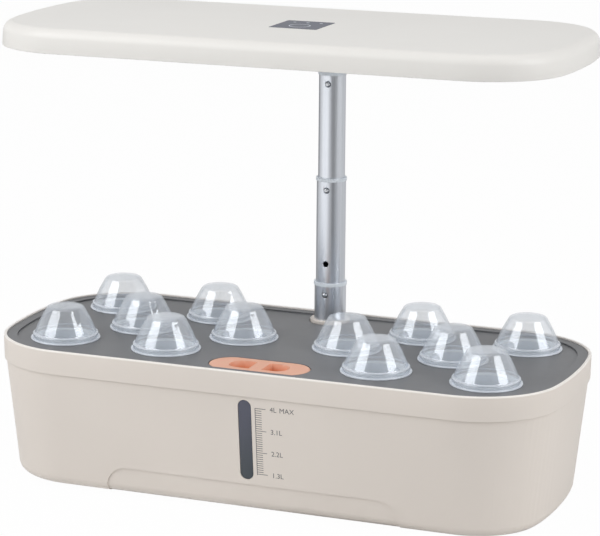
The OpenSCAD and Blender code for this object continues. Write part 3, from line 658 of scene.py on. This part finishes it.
# plain metal with a faint cloud of duller spots: roughness = rough + spread * (speck
# - 1 / 2)
def steelFinish(name, colour, rough):
    f = Finish(name, Metallic=1.0)
    (count, low, high), spread = steel["specks"], steel["spread"]
    speck = f.noise(count, detail=3.0)
    f.feed("Base Color", f.blend(speck.step(low, high), tint(colour), tint(colour, steel["dull"])))
    f.feed("Roughness", speck * spread + (rough - spread / 2))
    return f


clearLook = {
    "milkTint": "eef4fc",
    "milkRough": 0.3,
    "milk": 0.06,  # the least of it, face-on
    "milkEdge": (4, 0.42),  # the power and the gain with which it grows edge-on
    "clouds": (120.0, 0.03),  # clouds to a metre, and how milky
    "shoulder": (13.95, 21.65),  # heights over the dome's foot
    "shoulderMilk": 0.06,
    "flange": (0.75, 1.55),
    "flangeMilk": 0.62,
    "band": (3.55, 4.35),
    "bandSoft": 0.3,
    "bandMilk": 0.3,
    "glossTint": "f6faff",
    "glossRough": 0.05,
    "gloss": 0.09,
    "glossEdge": (5, 0.6),
}


# clear thin plastic: what is behind shows through, under a faint milk that grows where
# it is seen edge-on, and a gloss that grows likewise: factor = least + facing ** power *
# gain
def clearFinish():
    c = clearLook
    f = Finish("clear_plastic", Base_Color=tint(c["milkTint"]), Roughness=c["milkRough"])
    facing = f.node("ShaderNodeLayerWeight", {}, {}, "Facing")
    height = f.along("Z")
    shoulder = height.step(*above("dome_1", *c["shoulder"]))
    flange = 1 - height.step(*above("dome_1", *c["flange"]))
    band = height.within(*above("dome_1", *c["band"]), c["bandSoft"] * mm)
    rings = flange * c["flangeMilk"] + band * c["bandMilk"]
    (power, gain), (count, cloudy) = c["milkEdge"], c["clouds"]
    milk = facing**power * gain + shoulder * c["shoulderMilk"] + rings
    milk = milk + f.noise(count, detail=3.0) * cloudy + c["milk"]
    clear = f.node("ShaderNodeBsdfTransparent", {}, {"Color": studio["white"]})
    sheen = {"Color": tint(c["glossTint"]), "Roughness": c["glossRough"]}
    gloss = f.node("ShaderNodeBsdfGlossy", {}, sheen)
    power, gain = c["glossEdge"]
    f.show(f.mixed(facing**power * gain + c["gloss"], f.mixed(milk, clear, f.shader), gloss))
    return f


basketLook = {
    "tint": "ecf4fd",
    "through": "e6eef6",  # the tint of what shows through
    "rough": 0.38,
    "milk": (0.72, 180.0, 0.1),  # how milky, clouds to a metre, and how much more
    "frost": (1800.0, 0.02),  # grains to a metre, and their depth
}


# frosted and translucent, a little cloudy: factor = milk + cloudy * noise
def basketFinish():
    look = basketLook
    f = Finish("basket_plastic", Base_Color=tint(look["tint"]), Roughness=look["rough"])
    (milk, clouds, cloudy), (grain, depth) = look["milk"], look["frost"]
    clear = f.node("ShaderNodeBsdfTransparent", {}, {"Color": tint(look["through"])})
    f.show(f.mixed(f.noise(clouds, detail=3.0) * cloudy + milk, clear, f.shader))
    f.bump(f.noise(grain), depth * mm)
    return f


windowLook = {
    "foot": "2a343d",
    "head": "3d4054",
    "rise": (3.24, 59.24),  # heights over its foot from one tint to the other
    "rough": (0.1, 60.0, 0.08),  # the least, smears to a metre, and how much more
    "coat": (0.4, 0.05),  # weight and roughness
}


# smoked and polished, a little bluer towards the top: roughness = least + more * smears
def windowFinish():
    coat, coatRough = windowLook["coat"]
    f = Finish("window_plastic", Coat_Weight=coat, Coat_Roughness=coatRough)
    least, smears, more = windowLook["rough"]
    rise = f.along("Z").step(*above("level_window", *windowLook["rise"]))
    f.feed("Base Color", f.blend(rise, tint(windowLook["foot"]), tint(windowLook["head"])))
    f.feed("Roughness", f.noise(smears, detail=3.0) * more + least)
    return f


touchLook = {
    "tints": ("3c4252", "454b5c"),
    "clouds": (60.0, 0.3, 0.7),  # clouds to a metre, and the noise they turn between
    "rough": (0.3, 0.1),  # the least, and how much more in the clouds
    "specular": 0.2,
}


# a dark film with a soft drift of tone: roughness = least + more * clouds
def touchFinish():
    f = Finish("touch_plastic", Specular_IOR_Level=touchLook["specular"])
    (clouds, low, high), (least, more) = touchLook["clouds"], touchLook["rough"]
    slow = f.noise(clouds, detail=3.0)
    f.feed("Base Color", f.blend(slow.step(low, high), *map(tint, touchLook["tints"])))
    f.feed("Roughness", slow * more + least)
    return f


diffuserLook = {
    "tints": ("f1f3f5", "e8ebee"),
    "rough": 0.5,
    "ridges": (180.0, 0.05, 0.4),  # scale of the waves, their depth and strength
}


# opal sheet with a fine prismatic grain: a wave of ridges that also tints it
def diffuserFinish():
    f = Finish("diffuser_plastic", Roughness=diffuserLook["rough"])
    bands = {"wave_type": "BANDS"}
    size, depth, strength = diffuserLook["ridges"]
    waves = f.node("ShaderNodeTexWave", bands, {"Vector": f.place(), "Scale": size})
    f.feed("Base Color", f.blend(waves, *map(tint, diffuserLook["tints"])))
    f.bump(waves, depth * mm, strength)
    return f


ink = {
    "rough": 0.55,
    "specks": (900.0, 0.4, 0.7),  # specks to a metre, and the noise they turn between
    "thin": 1.2,  # how much brighter a speck is
}


# pad printing: flat ink with a faint broken tone, thin times as bright at a speck
def printFinish(name, colour):
    f = Finish(name, Roughness=ink["rough"])
    specks, low, high = ink["specks"]
    speck = f.noise(specks).step(low, high)
    f.feed("Base Color", f.blend(speck, tint(colour), tint(colour, ink["thin"])))
    return f


plastics = {  # colour, roughness, grains to a metre and their depth, drift of tone
    "cream_plastic": ("e1d9d1", 0.44, 1400, 0.035, 0.02),
    "deck_plastic": ("6b6c6f", 0.40, 1700, 0.03, 0.035),
    "lamp_plastic": ("e9e7e3", 0.36, 1500, 0.02, 0.012),
    "bush_plastic": ("e9f0f7", 0.32, 2200, 0.015, 0.01),
    "soft_rubber": ("4a4b4d", 0.7, 900, 0.06, 0.06),
    "pump_plastic": ("3c3e42", 0.38, 1500, 0.03, 0.05),
    "rotor_plastic": ("d6d8da", 0.4, 1500, 0.02, 0.02),
    "jack_plastic": ("202124", 0.35, 1500, 0.02, 0.05),
    "lead_jacket": ("26272a", 0.5, 1200, 0.03, 0.05),
    "shaft_ceramic": ("eeeeea", 0.25, 1500, 0.01, 0.01),
    "board_resin": ("2f5a3e", 0.45, 1200, 0.03, 0.08),
    "led_resin": ("f0e2a8", 0.3, 1200, 0.01, 0.03),
}
metals = {  # colour and roughness
    "spring_steel": ("c9ccd0", 0.24),
    "screw_steel": ("a9abae", 0.35),
    "board_metal": ("d5d6d6", 0.45),
}
finishes = {
    **{name: moulded(name, *look) for name, look in plastics.items()},
    **{name: steelFinish(name, *look) for name, look in metals.items()},
    "cap_plastic": capFinish(),
    "tube_metal": tubeFinish(),
    "clear_plastic": clearFinish(),
    "basket_plastic": basketFinish(),
    "window_plastic": windowFinish(),
    "touch_plastic": touchFinish(),
    "diffuser_plastic": diffuserFinish(),
}
inkGrey, inkPale = printFinish("scale_ink", "5b5a5d"), printFinish("panel_ink", "cdd0da")
for name, node in nodes.items():  # every CAD node starts with its slot's finish
    node.data.materials[0] = finishes[slotOf[name]].material
print("finishes made")

lamp = {
    "corner": bow["lamp"][1],
    "edge": 7.4,  # radius of its upper edge
    "edgeSteps": 22,
    "path": (32, (14, 30, 14, 30)),  # steps round a corner, and points along each side
    "draft": 4.0,
    "wall": 2.0,
    "panel": (34.2, 37.2, 1.2),  # recess of the touch panel: length, width, corner
    "panelPlace": (4, 0),
    "panelDeep": 0.9,
    "lip": 0.5,  # size of the turned edge at its foot
    "lipTurn": 0.3,  # how far along the lip its middle point lies
    "lipBack": 0.03,  # how far its upper end stands behind the wall
}


# one side of the shell from its foot to its flat top: a drafted wall, then an arc of
# x = edgeX + radius * cos a, z = edgeZ + radius * sin a
def lampProfile(height, inset):
    slope = np.radians(lamp["draft"])
    edgeZ = height - lamp["edge"]
    edgeX = lamp["corner"] - np.tan(slope) * edgeZ - lamp["edge"] / np.cos(slope)
    a = np.radians(np.linspace(lamp["draft"], 90, lamp["edgeSteps"]))
    radius = lamp["edge"] - inset
    arc = np.stack([edgeX + radius * np.cos(a), edgeZ + radius * np.sin(a)], 1)
    return np.concatenate([[[lamp["corner"] - inset / np.cos(slope), 0]], arc])


# the profile carried round the rounded plan, closed by flat faces above and below
def lampShell():
    low, high = boxOf("lamp_housing")
    length, width, height = high - low
    path = roundPath(length / 2 - lamp["corner"], width / 2 - lamp["corner"], *lamp["path"])
    outer, inner = lampProfile(height, 0), lampProfile(height, lamp["wall"])
    lip, edge, turn = lamp["lip"], outer[0, 0], lamp["lip"] * lamp["lipTurn"]
    foot = [[edge - lip, 0.0], [edge - turn, turn], [edge - lamp["lipBack"], lip]]
    profile = np.concatenate([inner[::-1], foot, outer[1:]])
    grid = carried(profile + [0, low[2]], path)
    grid[:, :, 1] += (low[1] + high[1]) / 2
    grid = bowed(grid, "lamp")
    skin = grid.reshape(-1, 3), gridFaces(len(path[0]), len(profile))
    panel = roundedLoop(*lamp["panel"], *lamp["panelPlace"])
    top, ceiling = grid[:, -1], grid[:, 0]
    sink, n = high[2] - lamp["panelDeep"], len(panel)
    rings = [np.column_stack([panel, np.full(n, z)]) for z in (high[2], sink)]
    k = np.arange(n)
    wall = np.stack([k, (k + 1) % n, (k + 1) % n + n, k + n], 1)[:, ::-1]
    return joined(
        skin,
        flatFill([top[:, :2], panel], high[2]),
        (np.concatenate(rings), wall),
        flatFill([panel], sink),
        flatFill([ceiling[:, :2]], ceiling[0, 2], up=False),
    )


lampWhite = finishes["lamp_plastic"]
publish("lampShell", *lampShell(), "lamp", lampWhite, "lamp_plastic", ("lamp_housing",))
print("lamp shell made")

marks = {
    "place": (4, -4.5),  # middle of the ring
    "ring": (7.4, 0.8, 48),  # radius, width of the ink, and steps
    "dot": (1.15, 1.1, 20),  # the same for a dot
    "dots": 3,
    "dotStep": 9.5,
    "dotY": 15.5,  # from the ring's middle to the dots' row
    "sunk": 0.005,  # how far the ink reaches into the panel
    "thick": 0.02,
}


# a flat ring of ink on the panel: points at radius - width and radius, below and above
def inkRing(x, y, z, radius, width, steps):
    a = np.linspace(0, 2 * np.pi, steps, endpoint=False)
    out = np.stack([np.cos(a), np.sin(a)], 1)
    near, top = radius - width, z + marks["thick"]
    corners = [(near, z), (near, top), (radius, top), (radius, z)]
    grid = np.stack([np.column_stack([[x, y] + out * r, 0 * a + h]) for r, h in corners], 1)
    return grid.reshape(-1, 3), gridFaces(steps, len(corners), wrapRows=True)[:, ::-1]


# a ring and a row of dots beyond it: dot k stands (k - middle) * dotStep beside its place
def panelMarks():
    x, y = marks["place"]
    z = boxOf("touch_panel")[1][2] - marks["sunk"]
    rings = [inkRing(x, y, z, *marks["ring"])]
    middle = (marks["dots"] - 1) / 2
    for k in range(marks["dots"]):
        place = x + (k - middle) * marks["dotStep"], y + marks["dotY"]
        rings.append(inkRing(*place, z, *marks["dot"]))
    return joined(*rings)


publish("panelMarks", *panelMarks(), "lamp", inkPale, "touch_plastic")
print("panel marked")

collar = {
    "corner": bow["tank"][1],
    "path": (32, (12, 30, 61, 30)),  # steps round a corner, and points along each side
    "thick": 2.1,
    "draft": 0.3,
    "ledge": 5.4,  # how far it reaches in
    "ledgeDrop": 4.2,  # from the rim's top down to the ledge's top
    "ledgeThick": 2.0,
    "lip": 0.9,  # radius of the rim's outer edge
    "ease": 0.35,  # and of the others
    "poleGap": 15.2,
    "near": 0.01,  # the ledge's own points lie this much inside the skirt
    "sharp": 50,
}


# a skirt with a rounded rim and an inner ledge, carried round the deck; the ledge
# stands back round the pole: y = pole + sqrt(gap ** 2 - x ** 2)
def rimCollar():
    low, high = boxOf("rim_collar")
    c, r, top, seam = collar, collar["corner"], high[2], low[2]
    inner, ledge = r - c["thick"], top - c["ledgeDrop"]
    under = ledge - c["ledgeThick"]
    shelf, skirt = inner - c["ledge"], inner - c["draft"]
    corners = [
        (r - c["draft"], seam), (r, top), (inner, top), (inner, ledge),
        (shelf, ledge), (shelf, under), (skirt, under), (skirt, seam),
    ]
    radii = [c["ease"], c["lip"], c["ease"], 0, c["ease"], c["ease"], 0, 0]
    profile = eased(corners, radii)
    path = roundPath(high[0] - r, high[1] - r, *c["path"])
    grid = carried(profile, path)
    x, y = grid[:, :, 0], grid[:, :, 1]
    poleLow, poleHigh = boxOf("pole_collar")
    poleY = (poleLow[1] + poleHigh[1]) / 2
    gap = np.sqrt(np.clip(c["poleGap"] ** 2 - x**2, 0, None)) + poleY
    ledgeRows = (profile[:, 0] < skirt - c["near"])[None, :]
    back = (np.abs(x) < c["poleGap"]) & (y > 0) & ledgeRows
    grid[:, :, 1] = np.where(back & (y < gap), gap, y)
    return bowed(grid, "tank").reshape(-1, 3), gridFaces(len(path[0]), len(profile), wrapRows=True)


rimCream, sharp = rimFinish(), collar["sharp"]
publish("rimCollar", *rimCollar(), "deck", rimCream, "cream_plastic", ("rim_collar",), sharp)
print("collar made")

dome = {
    "foot": 24.0,  # radius of the flange
    "flange": 1.0,  # and its thickness
    "flangeEases": (0, 0.25, 0.4, 0.3),  # radii of its corners, from the inner foot round
    "band": 22.6,
    "bandHeight": 4.2,
    "bandTurn": ((0, -0.5), (-0.15, -0.12), (-0.5, 0)),  # from the band's edge, over it
    "low": 21.1,  # radius of the cone's foot
    "lowTurn": ((0.35, 0.12), (0.08, 0.45)),  # from the band's height, up into the cone
    "lowRise": 0.8,  # and from there to where the cone starts
    "top": 13.5,  # radius of the cone's end
    "topDrop": 2.2,  # from the dome's top down to the cone's end
    "wall": 1.0,
    "bulge": 0.5,
    "shoulder": 3.2,  # its radius
    "shoulderFrom": 20,  # degrees off level
    "shoulderClear": 0.2,  # least rise from the cone's end to the shoulder's first point
    "crown": (0.8, 0.5, 0.2, 0.0),  # rings of the flat top, as shares of its radius
    "steps": (72, 18, 8),  # round the dome, up the cone and over the shoulder
    "sharp": 40,
}


# a flange, a band, a cone that bulges by 4 * bulge * t * (1 - t), a round shoulder and a
# flat top, one wall thick: the inner skin is the outer one moved by the wall along its
# normal
def domeProfile(height):
    d = dome
    _, sideSteps, turnSteps = d["steps"]
    t = np.linspace(0, 1, sideSteps)[:, None]
    start = np.array([d["low"], d["bandHeight"] + d["lowRise"]])
    end = np.array([d["top"], height - d["topDrop"]])
    side = start * (1 - t) + end * t + np.hstack([d["bulge"] * 4 * t * (1 - t), 0 * t])
    a = np.radians(np.linspace(d["shoulderFrom"], 90, turnSteps))[:, None]
    r, first = d["shoulder"], np.cos(np.radians(d["shoulderFrom"]))
    shoulder = np.hstack([end[0] - r * first + r * np.cos(a), height - r + r * np.sin(a)])
    shoulder = shoulder[shoulder[:, 1] > end[1] + d["shoulderClear"]]
    bore = d["band"] - d["wall"]
    flange = [(bore, 0), (d["foot"], 0), (d["foot"], d["flange"]), (d["band"], d["flange"])]
    flange = eased(flange, d["flangeEases"])
    turns = [*d["bandTurn"], *((d["low"] - d["band"] + x, z) for x, z in d["lowTurn"])]
    neck = np.array(turns) + [d["band"], d["bandHeight"]]
    flat = np.array([[shoulder[-1, 0] * s, height] for s in d["crown"]])
    outer = np.concatenate([flange[1:], neck, side, shoulder, flat])
    along = np.gradient(outer, axis=0)
    along /= np.linalg.norm(along, axis=1)[:, None]
    normal = np.stack([-along[:, 1], along[:, 0]], 1)
    inner = (outer + normal * d["wall"])[len(flange) - 1 :]
    inner[:, 0] = np.clip(inner[:, 0], 0, None)
    inner[-1, 0] = 0
    return np.concatenate([outer, inner[::-1], [[bore, 0.0]]])


# the profile turned round the middle of one dome of the CAD
def domeShape(k):
    low, high = boxOf(f"dome_{k}")
    x, y, _ = (low + high) / 2
    profile, steps = domeProfile(high[2] - low[2]) + [0, low[2]], dome["steps"][0]
    return turned(profile, x, y, steps), gridFaces(steps, len(profile), wrapRows=True)


clearSkin, sharp = finishes["clear_plastic"], dome["sharp"]
for k in pods:
    shape = domeShape(k)
    publish(f"dome{k}", *shape, f"dome_{k}", clearSkin, "clear_plastic", (f"dome_{k}",), sharp)
print("domes made")

cap = {
    "flange": 2.2,  # thickness of its rim
    "plug": 10.1,  # half its plug's width
    "ease": 0.9,  # radius of the rim's upper edge
    "plugEase": 0.4,
    "rimEase": 0.3,  # of the rim's lower edge
    "wellHalf": 12.3,  # half the straight run of the wells' outline
    "wellRadius": 8.7,  # and the radius of its ends
    "wellDeep": 8.0,
    "wellFull": 0.7,  # below 1 a well's floor is flatter and its walls steeper
    "wall": 3.0,  # how far in a well reaches its depth
    "grip": 9.4,  # width of the grip
    "gripEase": 1.1,  # and of its slope
    "path": (32, 60),  # points round an end, and along a side
    "topSteps": 60,
    "sharp": 60,
}


# stadium path: a point on the middle line and the direction out from it, which is
# (cos a, sin a) round an end and straight out along a side
def stadiumPath(half, steps, side):
    a = np.linspace(-np.pi / 2, np.pi / 2, steps)
    right = np.stack([np.cos(a), np.sin(a)], 1)
    t = np.linspace(1, -1, side)[1:-1, None]
    end, none = np.tile([half, 0], (steps, 1)), np.tile([0, 1], (side - 2, 1))
    base = np.concatenate([end, t * [half, 0], -end, -t * [half, 0]])
    return base, np.concatenate([right, none, -right, -none])


# a flanged stadium whose top sinks into two wells either side of the grip: drop = deep
# * sin(90 degrees * distance inside / wall) ** full * smooth step past the grip
def fillCap():
    low, high = boxOf("fill_cap")
    c, top, foot = cap, high[2], low[2]
    radius = (high[1] - low[1]) / 2
    half, middle, under = high[0] - radius, (low[1] + high[1]) / 2, top - c["flange"]
    plug = c["plug"]
    corners = [(0, foot), (plug, foot), (plug, under), (radius, under), (radius, top), (0, top)]
    body = eased(corners, [0, c["plugEase"], 0, c["rimEase"], c["ease"], 0])[:-1]
    reach = np.linspace(radius - c["ease"], 0, c["topSteps"])[1:]
    profile = np.concatenate([body, np.column_stack([reach, np.full(len(reach), top)])])
    path = stadiumPath(half, *c["path"])
    grid = carried(profile, path)
    x, y, z = (grid[:, :, k] for k in range(3))
    beyond = np.clip(np.abs(x) - c["wellHalf"], 0, None)
    within = np.clip((c["wellRadius"] - np.hypot(beyond, y)) / c["wall"], 0, 1)
    ridge = smooth(np.clip((np.abs(x) - c["grip"] / 2) / c["gripEase"], 0, 1))
    drop = c["wellDeep"] * np.sin(within * np.pi / 2) ** c["wellFull"] * ridge
    onTop = np.arange(len(profile)) >= len(body)
    grid[:, :, 2] = z - np.where(onTop[None, :], drop, 0)
    grid[:, :, 1] += middle
    return grid.reshape(-1, 3), gridFaces(len(path[0]), len(profile))


capPeach, sharp = finishes["cap_plastic"], cap["sharp"]
publish("fillCap", *fillCap(), "cap", capPeach, "cap_plastic", ("fill_cap",), sharp)
print("fill cap made")

easedNodes = {  # pieces that keep the CAD's shape: their names here and their edges' radii
    "tank_body": ("tankBody", 0.3, "tank"),
    "deck": ("deckPlate", 0.3, "tank"),
    "pole_collar": ("poleRing", 0.0),
    "level_window": ("levelWindow", 0.3),
    "lower_tube": ("lowerTube", 0.0),
    "mid_tube": ("midTube", 0.0),
    "upper_tube": ("upperTube", 0.0),
    "lamp_neck": ("lampNeck", 0.0),
    "bush_lower": ("lowerBush", 0.12),
    "bush_mid": ("midBush", 0.12),
    "bush_upper": ("upperBush", 0.12),
    "touch_panel": ("touchPanel", 0.15),
    "clip_lower": ("lowerClip", 0.0),
    "clip_mid": ("midClip", 0.0),
    "clip_upper": ("upperClip", 0.0),
    "lamp_base": ("lampBase", 0.2, "lamp"),
}
for node, how in easedNodes.items():
    refined(node, *how)
for k in pods:
    refined(f"basket_{k}", f"basket{k}", 0.0)
print("moulded pieces eased")

scale = {
    "line": 6.3,  # left edge of the upright line
    "foot": 28.0,  # and its lower end
    "minor": 11.0,  # right end of a short mark
    "major": 14.0,  # and of a long one
    "majors": (75.5, 59.7, 44.2, 28.8),  # heights of the long marks
    "between": 10,  # marks from one long mark to the next
    "ink": 0.4,  # width of a line
    "sunk": 0.02,  # how far the ink reaches into the wall
    "proud": 0.03,  # and how far it stands out
    "labels": ("4L", "3.1L", "2.2L", "1.3L"),
    "labelX": 16.9,
    "mostX": 23.6,
    "letter": 3.4,  # height of a capital
    "capital": 0.7,  # and its share of the font's size
    "letterThick": 0.025,
    "letterOut": 0.01,
    "lean": 6.0,
    "front": 88.25,  # distance of the front wall's upper end from the middle
    "seam": 82.8,
}


# a point of the front wall, out millimetres off it: y = -front + tan(lean) (seam - z)
def onWall(x, z, out):
    lean = np.radians(scale["lean"])
    y = np.tan(lean) * (scale["seam"] - z) - scale["front"]
    return np.stack(np.broadcast_arrays(x, y - out * np.cos(lean), z - out * np.sin(lean)), -1)


# a thin bar of ink on the wall: its four corners sunk in it, then standing proud of it
def inkBar(x0, x1, z0, z1):
    x, z = np.array([x0, x1, x1, x0]), np.array([z0, z0, z1, z1])
    points = np.concatenate([onWall(x, z, -scale["sunk"]), onWall(x, z, scale["proud"])])
    sides = [(0, 1, 5, 4), (1, 2, 6, 5), (2, 3, 7, 6), (3, 0, 4, 7)]
    return points, [(4, 5, 6, 7), *sides, (3, 2, 1, 0)]


# one upright line, and a mark for each level: every tenth one is longer
def scaleMarks():
    s, half = scale, scale["ink"] / 2
    bars = [inkBar(s["line"], s["line"] + s["ink"], s["foot"], s["majors"][0])]
    ends = s["majors"]
    levels = [np.linspace(a, b, s["between"], endpoint=False) for a, b in zip(ends, ends[1:])]
    for k, z in enumerate(np.concatenate([*levels, [ends[-1]]])):
        end = s["minor"] if k % s["between"] else s["major"]
        bars.append(inkBar(s["line"], end, z - half, z + half))
    return joined(*bars)


publish("scaleMarks", *scaleMarks(), "base", inkGrey, "window_plastic")


# letters as a thin mesh on the wall: the font's size is the capitals' height / capital
def label(name, text, x, z):
    curve = bpy.data.curves.new(name, "FONT")
    curve.body, curve.size = text, scale["letter"] * mm / scale["capital"]
    curve.extrude, curve.align_y = scale["letterThick"] * mm, "CENTER"
    holder = bpy.data.objects.new(name, curve)
    bpy.context.scene.collection.objects.link(holder)
    tipped = Matrix.Rotation(np.radians(90 + scale["lean"]), 4, "X")
    holder.matrix_world = Matrix.Translation(onWall(x, z, scale["letterOut"]) * mm) @ tipped
    bpy.context.view_layer.update()
    mesh = bpy.data.meshes.new_from_object(holder)
    mesh.transform(holder.matrix_world)
    bpy.data.objects.remove(holder)
    settle(name, mesh, "base", inkGrey)


for k, (text, level) in enumerate(zip(scale["labels"], scale["majors"])):
    label(f"level{k + 1}", text, scale["labelX"], level)
label("levelMax", "MAX", scale["mostX"], scale["majors"][0])
print("scale printed")
